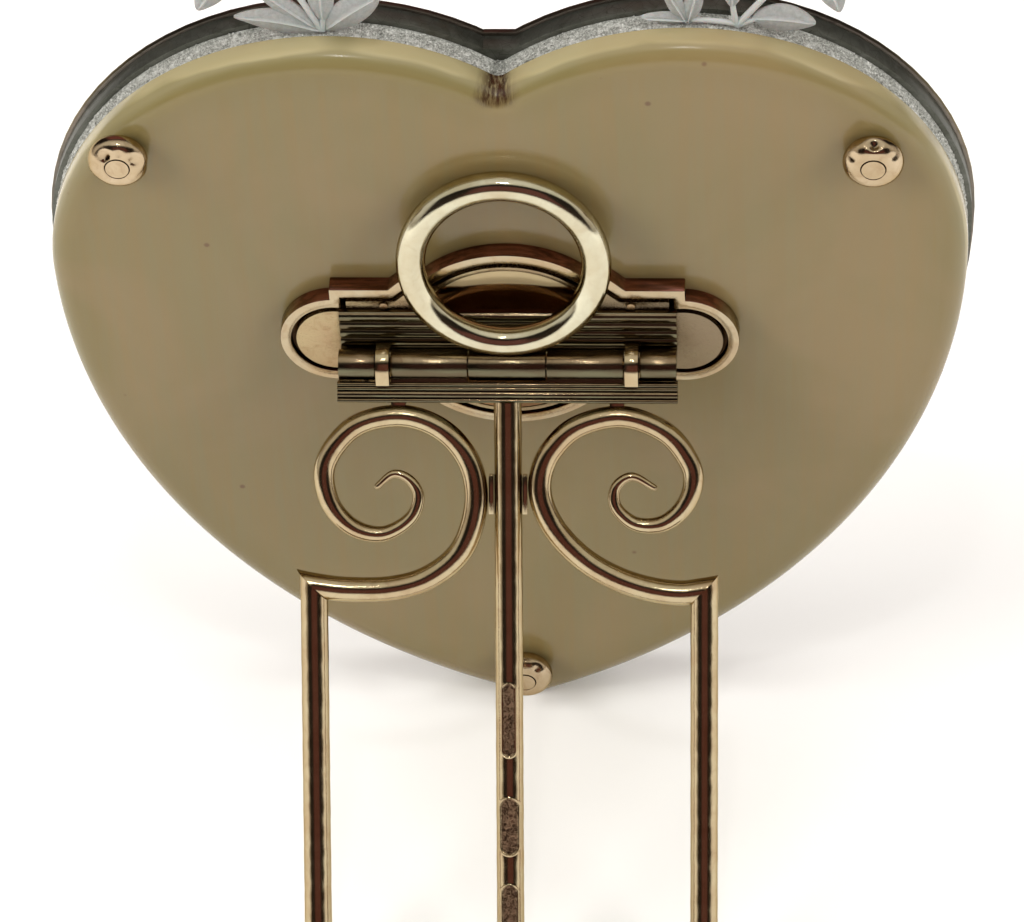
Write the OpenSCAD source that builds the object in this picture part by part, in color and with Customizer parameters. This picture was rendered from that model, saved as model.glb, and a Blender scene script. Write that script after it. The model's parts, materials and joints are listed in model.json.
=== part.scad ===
// Heart-shaped desk frame with an ivory back, a scrolled three-bar strut, a reeded
// hinge on a cartouche and a hanging ring.  Millimetres, +Z up.  The frame stands on
// the tip of the heart and on the foot of the strut, leaning back, with its picture
// side towards -Y and its strut towards +Y.  Left and right are as seen from behind.

/* [Heart] */
// Width of the ivory back
heart_w = 61.8; // [58:0.2:65]
// Radius of the two lobes
lobe_r = 19.2; // [17.8:0.1:20.2]
// Radius of the two long flanks
flank_r = 47.6; // [44.6:0.2:53]
// Radius of the blunt tip
tip_r = 3.3; // [2.9:0.1:5]
// Radius of the soft cleft between the lobes
cleft_r = 0.8; // [0.6:0.1:1.2]
// Height of the lobe centres above the hinge pin
lobe_level = 5.5; // [5:0.1:7]

// Rise of the carved outline towards the right lobe, per mm across
skew = 0.03; // [0:0.005:0.04]

/* [Layers] */
// Thickness of the ivory back
ivory_t = 2.4; // [2:0.1:3]
// Radius of the rounded rear edge of the ivory
ivory_edge = 1; // [0.6:0.1:1.4]
// Thickness of the granular band
liner_t = 1.5; // [1.3:0.1:1.8]
// Depth of the dark silver rim
rim_t = 1.3; // [1.2:0.1:2]
// Depth of the gold outer edge
edge_t = 0.4; // [0.3:0.1:0.8]
// How far the rim stands outside the ivory
rim_out = 0.3; // [0.1:0.1:0.5]
// How far the gold edge stands outside the ivory
edge_out = 0.5; // [0.3:0.1:0.8]
// Width of the rim's wall, from the ivory's outline to the picture pocket
wall_w = 7.2; // [7:0.1:7.6]

/* [Stance] */
// Lean of the frame from the vertical, degrees
lean = 7; // [5:0.5:8.5]
// Angle between the frame and the open strut, degrees
open_angle = 37; // [34:0.5:40]

/* [Hinge] */
// Height of the hinge pin above the ivory
axis_h = 3.6; // [3.5:0.1:3.7]
// Radius of the hinge pin
pin_r = 0.5; // [0.45:0.05:0.55]
// Radius of the knuckles
knuckle_r = 1.04; // [1.02:0.01:1.06]
// Half length of the hinge
hinge_half = 11.5; // [11.4:0.1:11.7]
// Running clearance on the pin and studs
run_gap = 0.05; // [0.03:0.01:0.08]

/* [Strut] */
// Radius of the straight bars
bar_r = 0.95; // [0.85:0.05:1]
// Half of the spacing of the two outer legs
leg_x = 13.3; // [13.2:0.1:13.6]

/* [Ring] */
// Radius of the ring's centre line
ring_r = 6.2; // [6:0.1:6.3]
// Radius of the ring's wire
ring_wire = 1; // [0.95:0.05:1]
// Distance from the hinge pin to the ring's centre
ring_reach = 8.2; // [8.1:0.1:8.2]

/* [Nuts] */
// Radius of the closing studs
stud_r = 0.78; // [0.74:0.02:0.82]
// Radius of the ball nuts
nut_r = 2; // [1.9:0.05:2.1]
// Height of the ball nuts
nut_h = 1.7; // [1.6:0.05:1.75]

/* [Hidden] */
$fn = 64;
gap = 0.05;

// Heart outline: lobe circles, flank circles tangent to them and a small tip circle.
lobe_x = heart_w / 2 - lobe_r;
flank_x = flank_r - heart_w / 2;
tip_drop = sqrt(pow(flank_r - tip_r, 2) - pow(flank_x, 2));
tip_turn = atan2(-tip_drop, flank_x);
tip_y = lobe_level - tip_drop - tip_r;
cleft_turn = 180 - acos(lobe_x / (lobe_r + cleft_r));
cleft_y = lobe_level + (lobe_r + cleft_r) * sin(cleft_turn);

// Layer faces, measured from the ivory's rear face, positive to the rear.
liner_z = -ivory_t;
rim_z = liner_z - liner_t;
edge_z = rim_z - rim_t;
front_z = edge_z - edge_t;
pocket_z = edge_z + 0.55;
window_inset = 9.2;
bezel_t = 0.25;
crystal_t = 0.95;
mount_t = 0.4;
card_t = 0.2;

// Where the frame touches the ground: the rear corner of the rim's tip.
rim_tip = [tip_y - rim_out, rim_z - axis_h];
pin_z = -(rim_tip[0] * cos(lean) - rim_tip[1] * sin(lean));
strut_angle = open_angle - lean;
foot_u = (pin_z - bar_r) / cos(strut_angle);
y_rear = foot_u * sin(strut_angle) + bar_r;
y_front = (tip_y - edge_out) * sin(lean) + (front_z - axis_h) * cos(lean);
pin_y = -(y_rear + y_front) / 2;

// Closing studs, as [x, y] on the ivory: left, right and bottom.
stud_spots = [[-25.1, 16.3], [24.45, 16.3], [-0.35, -35]];
stud_proud = nut_h + 0.05;

// Cartouche.
cart_h = 1.27;
cart_boss_r = 8;
wing_x = 12;
wing_y = 4.75;
end_r = 3.8;
end_x = 11.8;
groove_in = 0.75;
groove_w = 0.35;
pocket_d = 0.45;
dish_r = 6.55;
dish_sphere_r = 17;
pin_spots = [[-12.8, 0], [12.8, 0], [0, -4.6]];

// The ring leans on the ivory, by this angle about the pin.
ring_lean = asin((axis_h - ring_wire - 0.03) / (ring_reach + ring_r));

// Hinge: x spans of the knuckles, as [inner, outer], mirrored where there are two.
ring_knuckle_half = 2.6;
strut_knuckle = [2.7, 7.85];
lug_span = [7.95, 8.85];
lug_outer = 1.5;
lug_web = [-0.5, 0.5];
leaf_knuckle = [8.95, 11.4];
bore_r = pin_r + run_gap;
leaf_top = 3;
leaf_foot = -0.9;
leaf_low = cart_h + 0.02;
leaf_high = leaf_low + 0.32;
reed_r = 0.39;
reed_sink = 0.13;
reed_step = 0.75;
reeds = 5;

// Strut rail, along the strut from the pin.
rail_y = [-1.11, -2.5];
rail_half_t = 0.62;
rail_proud = 0.16;
// Ribs down the rail from its upper edge, as [distance, radius].
rail_ribs = [[0.15, 0.14], [0.42, 0.13], [0.83, 0.28], [1.24, 0.14]];
rail_face = rail_half_t + rail_proud;

// Scroll centre lines from the leg's corner inwards, with the wire's radius.
left_path = [[-15, -14.9], [-13.3, -15.25], [-11, -15.5], [-8, -15.4], [-5.4, -14.6],
    [-3.2, -12.7], [-2.2, -9.6], [-2.6, -6.75], [-4.4, -4.5], [-7.2, -3.5], [-10.4, -4.25],
    [-12.4, -6.75], [-12.2, -9.35], [-10.7, -11.15], [-8.6, -11.65], [-6.7, -10.6],
    [-6.1, -9.05], [-6.7, -7.9], [-7.8, -7.5], [-8.9, -8.35]];
right_path = [[15, -15.1], [13.3, -15.4], [11.6, -15.6], [9.4, -15.3], [7.2, -14.55],
    [5.1, -13.3], [3.3, -11.45], [2.3, -9.45], [2.2, -7.6], [3, -5.75], [4.8, -4.15],
    [7.8, -3.5], [10.7, -4.6], [12.3, -6.65], [12.5, -8.25], [11.8, -9.8],
    [10.4, -10.85], [8.6, -10.85], [7.3, -9.7], [7.3, -8.35], [8.4, -7.6], [9.9, -8.35]];
wire_r = [0.88, 0.74, 0.22];
wire_steps = 4;
wire_sides = 12;
corner_y = -15.3;

// Leaf sprays: root x, then each leaf as [x, y, angle, length, width] from the root,
// and the stems that carry them.
leaf_root_left = -11.3;
leaf_root_right = 15.6;
leaf_t_z = [liner_z - 0.1, liner_z - 0.7];
leaves_left = [[0, 0, 166, 5.8, 2], [-0.3, 0.4, 134, 6, 1.4], [0.1, 0.9, 88, 5, 1.8],
    [0, 0.2, 38, 4.8, 2.3], [-5.7, 5.3, 236, 4.2, 2], [-3.2, 5.6, 100, 3, 1.2]];
stems_left = [[[0, 0], [-1.7, 3.6], [-3.4, 5.6], [-5.8, 5.2], [-6.2, 4.6]], [[0, 0], [0.1, 2.4]],
    [[-3.3, 5.5], [-3.2, 6.4]]];
leaves_right = [[1, 0.8, -7, 4.1, 2.3], [5.4, 5, -72, 4, 1.9], [-0.3, 1.7, 88, 3.8, 1.4],
    [-3.2, 0.3, 115, 3.8, 1.1], [-3.2, 0.3, 76, 3.8, 1.2], [-3, 0.6, 176, 3.2, 1],
    [3.2, 4, 70, 3.4, 1.4]];
stems_right = [[[0, 0], [1.5, 2.1], [3.3, 4.2], [5.3, 5.1], [5.7, 4.4]], [[0, 0], [-0.3, 2.6]],
    [[0, 0], [2, 0.9]], [[0.3, 0.1], [-1.6, 0.5], [-3.5, 0.6]], [[3.2, 4.1], [3.5, 4.9]]];
stem_w = 0.42;
tang = [1.6, 0.9];

// ---- frames of reference ------------------------------------------------------

// x to the right as seen from behind, y up the frame from the pin, z to the rear
// from the ivory's rear face.
module on_frame()
    translate([0, pin_y, pin_z]) rotate([-lean, 0, 0]) rotate([90, 0, 180])
        translate([0, 0, -axis_h]) children();

// The same directions turned about the pin: y up the strut or the ring.
module on_pin(turn)
    on_frame() translate([0, 0, axis_h]) rotate([-turn, 0, 0]) children();

module both_sides() {
    children();
    mirror([1, 0, 0]) children();
}

// A cylinder along x between two stations.
module x_bar(r, span)
    translate([span[0], 0, 0]) rotate([0, 90, 0]) cylinder(r = r, h = span[1] - span[0]);

// A block between two opposite corners.
module block(low, high) translate(low) cube(high - low);

// ---- heart outline ------------------------------------------------------------

function arc(c, r, a0, a1, n) =
    [for (i = [0 : n]) let (a = a0 + (a1 - a0) * i / n) [c[0] + r * cos(a), c[1] + r * sin(a)]];

// The same arc without its last point, for joining to the next one.
function open_arc(c, r, a0, a1, n) = let (all = arc(c, r, a0, a1, n)) [for (i = [0 : n - 1]) all[i]];

// Right half from the tip to the cleft, with the outline moved inwards by d.
function half_heart(d) =
    let (
        flank = flank_r - d,
        blunt = tip_r - d > 0.1,
        start = blunt ? tip_turn : -acos(flank_x / flank)
    )
    concat(
        blunt ? open_arc([0, lobe_level - tip_drop], tip_r - d, -90, tip_turn, 5) : [],
        open_arc([-flank_x, lobe_level], flank, start, 0, 24),
        open_arc([lobe_x, lobe_level], lobe_r - d, 0, cleft_turn, 26),
        arc([0, cleft_y], cleft_r + d, cleft_turn - 180, -90, 4)
    );

function mirrored(points) =
    [for (i = [len(points) - 2 : -1 : 1]) [-points[i][0], points[i][1]]];

function heart_points(d) = let (half = half_heart(d))
    [for (p = concat(half, mirrored(half))) [p[0], p[1] + skew * p[0]]];

module heart(d) polygon(heart_points(d));

module heart_plate(d, low, high)
    translate([0, 0, low]) linear_extrude(high - low) heart(d);

module heart_ring(outer, inner, low, high)
    translate([0, 0, low]) linear_extrude(high - low) difference() {
        heart(outer);
        heart(inner);
    }

module at_studs() {
    for (spot = stud_spots) translate(spot) children();
}

// ---- heart body ---------------------------------------------------------------

// Heart-shaped slab with a rounded rear edge, as a loft over outlines [inset, level].
module rounded_heart(low, high, edge) {
    turns = [for (i = [0 : 4]) 90 * i / 5];
    rows = concat([[0, low]],
        [for (a = turns) [edge * (1 - cos(a)), high - edge * (1 - sin(a))]],
        [[0.85 * edge, high]]);
    outline = [for (row = rows) [for (p = heart_points(row[0])) [p[0], p[1], row[1]]]];
    n = len(outline[0]);
    last = len(rows) - 1;
    sides = [for (i = [0 : last - 1], k = [0 : n - 1])
        let (next = (k + 1) % n, a = i * n, b = a + n)
        each [[a + k, b + k, b + next], [a + k, b + next, a + next]]];
    ends = [[for (k = [0 : n - 1]) k], [for (k = [n - 1 : -1 : 0]) last * n + k]];
    polyhedron([for (row = outline) each row], concat(sides, ends));
}

module ivory_back() color("#a08c66") on_frame() difference() {
    rounded_heart(-ivory_t, 0, ivory_edge);
    at_studs() translate([0, 0, -ivory_t - 1]) cylinder(r = stud_r + 0.1, h = ivory_t + 2);
    for (spot = pin_spots) translate([spot[0], spot[1], -ivory_t]) {
        translate([0, 0, -1]) cylinder(r = 0.65, h = ivory_t + 2);
        translate([0, 0, -1]) cylinder(r = 1.3, h = 1.6);
    }
}

module granular_band() color("#b9bcbc") on_frame() difference() {
    heart_ring(0, wall_w, rim_z, liner_z);
    at_studs() translate([0, 0, rim_z - 1]) cylinder(r = stud_r + gap, h = liner_t + 2);
    spray_tang(leaf_root_left, gap);
    spray_tang(leaf_root_right, gap);
}

// Fills the bottom of the cleft outside the ivory, so that it ends flat.
module cleft_web(out, low, high)
    translate([0, lobe_level + sqrt(pow(lobe_r + out, 2) - pow(lobe_x - 1.05, 2)), low])
        linear_extrude(high - low)
            polygon([[-1.05, 0], [-1.6, -1.2], [-0.4, -2.4], [0.4, -2.4], [1.6, -1.2], [1.05, 0]]);

module dark_rim() color("#4b4d4e") on_frame() difference() {
    union() {
        heart_plate(-rim_out, edge_z, rim_z);
        cleft_web(rim_out, edge_z, rim_z);
    }
    heart_plate(wall_w, pocket_z, rim_z + 1);
    heart_plate(window_inset, edge_z - 1, rim_z + 1);
    at_studs() translate([0, 0, edge_z + 0.8]) cylinder(r = stud_r + 0.02, h = rim_t);
}

module gold_edge() color("#c79a72") on_frame() union() {
    heart_ring(-edge_out, 1.2, front_z, edge_z);
    cleft_web(edge_out, front_z, edge_z);
}

module window_bezel() color("#d0a67c")
    on_frame() heart_ring(window_inset - 0.8, window_inset + 0.4, edge_z - bezel_t, edge_z);

module crystal_front() color("#dfe8ea", 0.4)
    on_frame() heart_plate(wall_w + gap, pocket_z + 0.02, pocket_z + crystal_t);

module picture_mount() color("#efe6d2") on_frame()
    heart_ring(wall_w + gap, window_inset + 1.6, pocket_z + crystal_t + 0.02,
        pocket_z + crystal_t + mount_t);

module picture_card() color("#d9cdb4") on_frame()
    heart_plate(wall_w + gap, pocket_z + crystal_t + mount_t + 0.02,
        pocket_z + crystal_t + mount_t + card_t);

module backing_board() color("#8b7355") on_frame()
    heart_plate(wall_w + gap, pocket_z + crystal_t + mount_t + card_t + 0.02, liner_z - gap);

// ---- leaf sprays --------------------------------------------------------------

function spray_root(x) =
    [x, lobe_level + sqrt(pow(lobe_r, 2) - pow(abs(x) - lobe_x, 2)) + skew * x];

module spray_tang(x, extra)
    translate([spray_root(x)[0], spray_root(x)[1], 0])
        block([-tang[0] / 2 - extra, -tang[1] - extra, leaf_t_z[1] - extra],
            [tang[0] / 2 + extra, 0.6, leaf_t_z[0] + extra]);

// A pointed leaf between two arcs, from the origin along +x.
module leaf_outline(length, width) {
    r = (pow(length, 2) + pow(width, 2)) / (4 * width);
    intersection_for (side = [-1, 1])
        translate([length / 2, side * (r - width / 2)]) circle(r = r);
}

module leaf_spray(x, leaves, stems) on_frame() {
    root = spray_root(x);
    difference() {
        translate([root[0], root[1], leaf_t_z[1]])
            linear_extrude(leaf_t_z[0] - leaf_t_z[1]) {
                for (leaf = leaves) translate([leaf[0], leaf[1]])
                    rotate(leaf[2]) leaf_outline(leaf[3], leaf[4]);
                for (stem = stems, i = [1 : len(stem) - 1]) hull() {
                    translate(stem[i - 1]) circle(d = stem_w, $fn = 16);
                    translate(stem[i]) circle(d = stem_w, $fn = 16);
                }
                circle(r = 0.7);
            }
        heart_plate(-0.04, rim_z - 1, 1);
    }
    spray_tang(x, 0);
}

module leaf_spray_left() color("#e6eaea") leaf_spray(leaf_root_left, leaves_left, stems_left);
module leaf_spray_right() color("#e6eaea") leaf_spray(leaf_root_right, leaves_right, stems_right);

// ---- studs and ball nuts ------------------------------------------------------

module stud(spot) on_frame() translate([spot[0], spot[1], edge_z + 0.85])
    cylinder(r = stud_r, h = stud_proud - edge_z - 0.85);

module stud_left() color("#c9a07a") stud(stud_spots[0]);
module stud_right() color("#c9a07a") stud(stud_spots[1]);
module stud_bottom() color("#c9a07a") stud(stud_spots[2]);

// A bun with a flat rear end, bored for its stud.
module ball_nut(spot) on_frame() translate([spot[0], spot[1], 0.03]) {
    side_r = nut_h / 2;
    difference() {
        rotate_extrude() union() {
            translate([nut_r - side_r, side_r]) circle(r = side_r);
            square([nut_r - side_r, nut_h]);
        }
        translate([0, 0, -1]) cylinder(r = stud_r + run_gap, h = nut_h + 2);
    }
}

module ball_nut_left() color("#d8ab80") ball_nut(stud_spots[0]);
module ball_nut_right() color("#d8ab80") ball_nut(stud_spots[1]);
module ball_nut_bottom() color("#d8ab80") ball_nut(stud_spots[2]);

// ---- cartouche ----------------------------------------------------------------

// Round boss with stepped shoulders and rounded ends, moved inwards by d.
module cartouche_outline(d) {
    top = wing_y - d;
    wide = 8 - 0.4 * d;
    low = wing_x - 1.1 - d;
    circle(r = cart_boss_r - d);
    polygon([[-low, -top], [low, -top], [low, 0], [wing_x - d, 0], [wing_x - d, top], [wide, top],
        [wide - 1, top + 0.95], [1 - wide, top + 0.95], [-wide, top], [d - wing_x, top],
        [d - wing_x, 0], [-low, 0]]);
    for (side = [-1, 1]) translate([side * end_x, 0]) circle(r = end_r - d);
}

module pin_holes(r) for (spot = pin_spots) translate([spot[0], spot[1], -1]) cylinder(r = r, h = 4);

module cartouche_base() color("#cfa27a") on_frame() difference() {
    linear_extrude(cart_h) cartouche_outline(0);
    translate([0, 0, cart_h - pocket_d]) linear_extrude(1) cartouche_outline(groove_in);
    translate([0, 0, -1]) cylinder(r = dish_r + gap, h = 4);
    pin_holes(0.62);
}

// Raised face of the boss's rim and the two wings, inside the groove.
module wing_panels() color("#d3ad86") on_frame() difference() {
    translate([0, 0, cart_h - pocket_d + 0.01]) linear_extrude(pocket_d - 0.03)
        difference() {
            cartouche_outline(groove_in + groove_w);
            circle(r = dish_r + gap);
        }
    rivet_spots() translate([0, 0, -1]) cylinder(r = 0.3, h = 4);
}

module cartouche_dish() color("#a8744c") on_frame() translate([0, 0, 0.02]) difference() {
    cylinder(r = dish_r, h = cart_h - 0.06);
    translate([0, 0, cart_h + dish_sphere_r - 1.1]) sphere(r = dish_sphere_r, $fn = 96);
    translate([pin_spots[2][0], pin_spots[2][1], -1]) cylinder(r = 0.62, h = 4);
}

module rivet_spots() both_sides() translate([8.35, leaf_top + 0.34, 0]) children();

module cartouche_rivets() color("#b98b62") on_frame() rivet_spots()
    translate([0, 0, cart_h - pocket_d + 0.02]) cylinder(r = 0.28, h = pocket_d + 0.12);

module cartouche_pins() color("#b98b62") on_frame() for (spot = pin_spots)
    translate([spot[0], spot[1], 0]) {
        translate([0, 0, -ivory_t + 0.3])
            cylinder(r = 0.6, h = ivory_t - 0.3 + (norm(spot) > 8 ? cart_h - pocket_d : 0.04));
        translate([0, 0, -ivory_t + 0.05]) cylinder(r = 1.2, h = 0.5);
    }

// ---- hinge, fixed side --------------------------------------------------------

// Reeded leaf across the cartouche, with a knuckle at each end.
module hinge_leaf() color("#c69a70") on_frame() difference() {
    union() {
        block([-leaf_knuckle[1], leaf_foot, leaf_low], [leaf_knuckle[1], leaf_top, leaf_high]);
        for (i = [0 : reeds - 1])
            translate([0, leaf_top - 0.06 - reed_r - reed_step * i, leaf_high - reed_sink])
                x_bar(reed_r, [-leaf_knuckle[1], leaf_knuckle[1]]);
        both_sides() {
            block([leaf_knuckle[0], -0.75, leaf_low + 0.1], [leaf_knuckle[1], 0, axis_h]);
            translate([0, 0, axis_h]) x_bar(knuckle_r, leaf_knuckle);
        }
    }
    translate([0, 0, axis_h]) x_bar(pin_r + 0.01, [-14, 14]);
    both_sides() block([lug_span[0] - 0.02, lug_web[0] - 0.02, leaf_high],
        [lug_span[1] + 0.02, lug_web[1] + 0.02, axis_h]);
    block([-12, leaf_foot - 0.1, 0.5], [12, leaf_top + 0.1, leaf_low]);
}

// A point of the strut's own section seen in the frame's section.
function turned(y, z) =
    [y * cos(open_angle) + z * sin(open_angle), -y * sin(open_angle) + z * cos(open_angle)];

// Lugs on the pin, with claws that stop the rail at its open angle.
module stop_lugs() color("#d9b189") on_frame() {
    outer = lug_outer - 0.02;
    face = rail_face + 0.02;
    section = concat(
        arc([0, 0], outer, -60, 90, 14),
        [turned(-1, face + 0.34), turned(-1.32, face + 0.2), turned(-1.32, face),
            turned(-0.68, face)],
        arc([0, 0], knuckle_r, 95, 300, 14)
    );
    both_sides() translate([lug_span[0], 0, axis_h]) rotate([90, 0, 90])
        linear_extrude(lug_span[1] - lug_span[0]) difference() {
            union() {
                polygon(section);
                translate([lug_web[0], leaf_high + 0.01 - axis_h])
                    square([lug_web[1] - lug_web[0], axis_h - leaf_high - 0.7]);
            }
            circle(r = pin_r + 0.01);
        }
}

module hinge_pin() color("#8c6a4a") on_frame() translate([0, 0, axis_h])
    x_bar(pin_r, [-hinge_half + 0.2, hinge_half - 0.2]);

// ---- strut --------------------------------------------------------------------

module strut_rail() color("#cda279") on_pin(open_angle) difference() {
    union() {
        block([-hinge_half, rail_y[1], -rail_half_t], [hinge_half, rail_y[0], rail_half_t]);
        for (rib = rail_ribs)
            translate([0, rail_y[0] - rib[0], rail_face - rib[1]])
                x_bar(rib[1], [-hinge_half, hinge_half]);
        both_sides() {
            block([strut_knuckle[0], rail_y[0] - 0.1, -rail_half_t],
                [strut_knuckle[1], 0, rail_half_t]);
            x_bar(knuckle_r, strut_knuckle);
        }
    }
    x_bar(bore_r, [-14, 14]);
}

// A bar along the strut between two stations, measured down from the pin.
module down_bar(r, span) translate([0, -span[1], 0]) rotate([-90, 0, 0])
    cylinder(r = r, h = span[1] - span[0]);

// Shallow round-ended recesses where the maker's punches would be, left plain.
recesses = [[21.8, 26.9, 0.42], [29.8, 33.8, 0.62], [35.9, 40.4, 0.52]];

module strut_rod() color("#cda279") on_pin(open_angle) difference() {
    down_bar(bar_r, [-rail_y[1] + 0.01, foot_u]);
    translate([0, -foot_u, 0]) x_bar(bar_r + 0.01, [-3, 3]);
    for (mark = recesses) translate([0, 0, bar_r - 0.2]) linear_extrude(1)
        for (end = [mark[0] + mark[2], mark[1] - mark[2]]) {
            translate([0, -end]) circle(r = mark[2]);
            translate([-mark[2], -mark[1] + mark[2]])
                square([2 * mark[2], mark[1] - mark[0] - 2 * mark[2]]);
        }
}

// The half space outside a mitre through a corner, on the leg's side.
module mitre_cut(corner, turn) translate(corner) rotate([0, 0, turn])
    translate([0, -4, -4]) cube([8, 8, 8]);

// Outer leg of the left side; both of its ends are mitred.
module leg() difference() {
    translate([-leg_x, 0, 0]) down_bar(bar_r, [-corner_y - bar_r - 0.3, foot_u + bar_r + 0.3]);
    mitre_cut([-leg_x, corner_y, 0], 45);
    mitre_cut([-leg_x, -foot_u, 0], -45);
}

module left_leg() color("#cda279") on_pin(open_angle) leg();
module right_leg() color("#cda279") on_pin(open_angle) mirror([1, 0, 0]) leg();

module foot_bar() color("#cda279") on_pin(open_angle) intersection() {
    translate([0, -foot_u, 0]) x_bar(bar_r, [-leg_x - 1.5, leg_x + 1.5]);
    translate([-leg_x, -foot_u, 0]) rotate([0, 0, -45])
        translate([0.01, -30, -4]) cube([30, 60, 8]);
    translate([leg_x, -foot_u, 0]) rotate([0, 0, 45])
        translate([-30.01, -30, -4]) cube([30, 60, 8]);
}

// Smooth curve through the path's points, without its two outermost ones.
function curve_point(p, t) = 0.5 * (2 * p[1] + (p[2] - p[0]) * t
    + (2 * p[0] - 5 * p[1] + 4 * p[2] - p[3]) * t * t
    + (3 * p[1] - p[0] - 3 * p[2] + p[3]) * t * t * t);

function curve(path) =
    let (last = len(path) - 1, far = 2 * path[last] - path[last - 1],
        near = 2 * path[0] - path[1], all = concat([near], path, [far]))
    [for (i = [0 : last - 1], k = [0 : wire_steps - 1])
        curve_point([for (j = [0 : 3]) all[i + j]], k / wire_steps), path[last]];

// Full at the corner, thinner round the loop and fine at the curled end.
function wire_radius(s) = s < 0.65
    ? wire_r[0] + (wire_r[1] - wire_r[0]) * s / 0.65
    : wire_r[1] + (wire_r[2] - wire_r[1]) * pow((s - 0.65) / 0.35, 1.5);

module wire(path) {
    line = curve(path);
    last = len(line) - 1;
    points = [for (i = [0 : last])
        let (
            along = line[min(i + 1, last)] - line[max(i - 1, 0)],
            side = [-along[1], along[0]] / norm(along),
            r = wire_radius(i / last)
        )
        for (k = [0 : wire_sides - 1])
            let (a = 360 * k / wire_sides)
            [line[i][0] + r * cos(a) * side[0], line[i][1] + r * cos(a) * side[1], r * sin(a)]];
    sides = [for (i = [0 : last - 1], k = [0 : wire_sides - 1])
        let (next = (k + 1) % wire_sides, a = i * wire_sides, b = a + wire_sides)
        each [[a + k, b + k, b + next], [a + k, b + next, a + next]]];
    ends = [[for (k = [0 : wire_sides - 1]) k],
        [for (k = [wire_sides - 1 : -1 : 0]) last * wire_sides + k]];
    polyhedron(points, concat(sides, ends));
}

module left_scroll() color("#d8ac82") on_pin(open_angle) difference() {
    wire(left_path);
    translate([-leg_x, corner_y, 0]) rotate([0, 0, 45])
        translate([-7.99, -4, -4]) cube([8, 8, 8]);
}

module right_scroll() color("#d8ac82") on_pin(open_angle) difference() {
    wire(right_path);
    translate([leg_x, corner_y, 0]) rotate([0, 0, -45])
        translate([-0.01, -4, -4]) cube([8, 8, 8]);
}

// Small soldered links: scroll to rod on each side, and scroll to rail above.
module scroll_ties() color("#b98b62") on_pin(open_angle) {
    both_sides() block([bar_r + 0.03, -10.2, -0.35], [bar_r + 0.36, -7.5, 0.35]);
    both_sides() block([6.9, -2.75, -0.35], [7.9, rail_y[1] - 0.01, 0.35]);
}

// ---- hanging ring -------------------------------------------------------------

module ring_knuckle() color("#c99d74") on_pin(ring_lean) difference() {
    x_bar(knuckle_r, [-ring_knuckle_half, ring_knuckle_half]);
    x_bar(bore_r, [-14, 14]);
}

module hanging_ring() color("#d9b48c") on_pin(ring_lean) difference() {
    translate([0, ring_reach, 0]) rotate_extrude($fn = 96)
        translate([ring_r, 0]) circle(r = ring_wire);
    x_bar(knuckle_r + 0.01, [-ring_knuckle_half - 1, ring_knuckle_half + 1]);
}

ivory_back();
granular_band();
dark_rim();
gold_edge();
window_bezel();
crystal_front();
picture_mount();
picture_card();
backing_board();
leaf_spray_left();
leaf_spray_right();
stud_left();
stud_right();
stud_bottom();
ball_nut_left();
ball_nut_right();
ball_nut_bottom();
cartouche_base();
wing_panels();
cartouche_dish();
cartouche_rivets();
cartouche_pins();
hinge_leaf();
stop_lugs();
hinge_pin();
strut_rail();
strut_rod();
left_leg();
right_leg();
left_scroll();
right_scroll();
scroll_ties();
foot_bar();
ring_knuckle();
hanging_ring();
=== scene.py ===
"""Looks of the heart-shaped strut frame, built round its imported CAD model.

Local coordinates are millimetres: x to the right as seen from behind, y up the frame or
the strut from the hinge pin, z to the rear from the ivory's rear face or the pin's axis.
"""

import json
import math
import random

import bmesh
import bpy
from mathutils import Matrix, Vector
from mathutils.geometry import delaunay_2d_cdt


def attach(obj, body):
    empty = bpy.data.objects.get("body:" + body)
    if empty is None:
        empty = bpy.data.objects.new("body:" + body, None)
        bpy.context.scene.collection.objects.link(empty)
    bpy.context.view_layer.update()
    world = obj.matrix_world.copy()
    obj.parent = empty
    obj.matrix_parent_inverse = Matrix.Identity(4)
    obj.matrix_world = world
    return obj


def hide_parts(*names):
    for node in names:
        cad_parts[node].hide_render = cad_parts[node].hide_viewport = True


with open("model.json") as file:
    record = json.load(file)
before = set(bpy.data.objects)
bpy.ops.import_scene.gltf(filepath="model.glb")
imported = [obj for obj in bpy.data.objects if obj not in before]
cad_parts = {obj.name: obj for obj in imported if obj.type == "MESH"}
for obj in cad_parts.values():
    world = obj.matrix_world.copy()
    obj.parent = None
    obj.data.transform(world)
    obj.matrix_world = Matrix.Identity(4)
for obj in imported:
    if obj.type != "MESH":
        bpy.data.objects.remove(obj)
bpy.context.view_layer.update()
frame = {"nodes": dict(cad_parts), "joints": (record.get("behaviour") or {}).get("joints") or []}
scene = bpy.context.scene
MM = 0.001

# ---- the same places as in the CAD source -------------------------------------

LEAN, OPEN = math.radians(7), math.radians(37)
AXIS_H = 3.6
RING_REACH, RING_R, RING_WIRE = 8.2, 6.2, 1.0
RING_LEAN = math.asin((AXIS_H - RING_WIRE - 0.03) / (RING_REACH + RING_R))
HALF_W, LOBE_R, FLANK_R, TIP_R, LOBE_LEVEL, CLEFT_R = 30.9, 19.2, 47.6, 3.3, 5.5, 0.8
SKEW = 0.03
IVORY_T, LINER_T, IVORY_EDGE = 2.4, 1.5, 1.0
BAR_R, LEG_X, CORNER_Y = 0.95, 13.3, -15.3
RAIL_FOOT = -2.5
STUDS = {"left": (-25.1, 16.3), "right": (24.45, 16.3), "bottom": (-0.35, -35.0)}
STUD_R, NUT_R, NUT_H = 0.78, 2.0, 1.7
LOBE_X, FLANK_X = HALF_W - LOBE_R, FLANK_R - HALF_W
TIP_DROP = math.sqrt((FLANK_R - TIP_R) ** 2 - FLANK_X ** 2)

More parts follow.
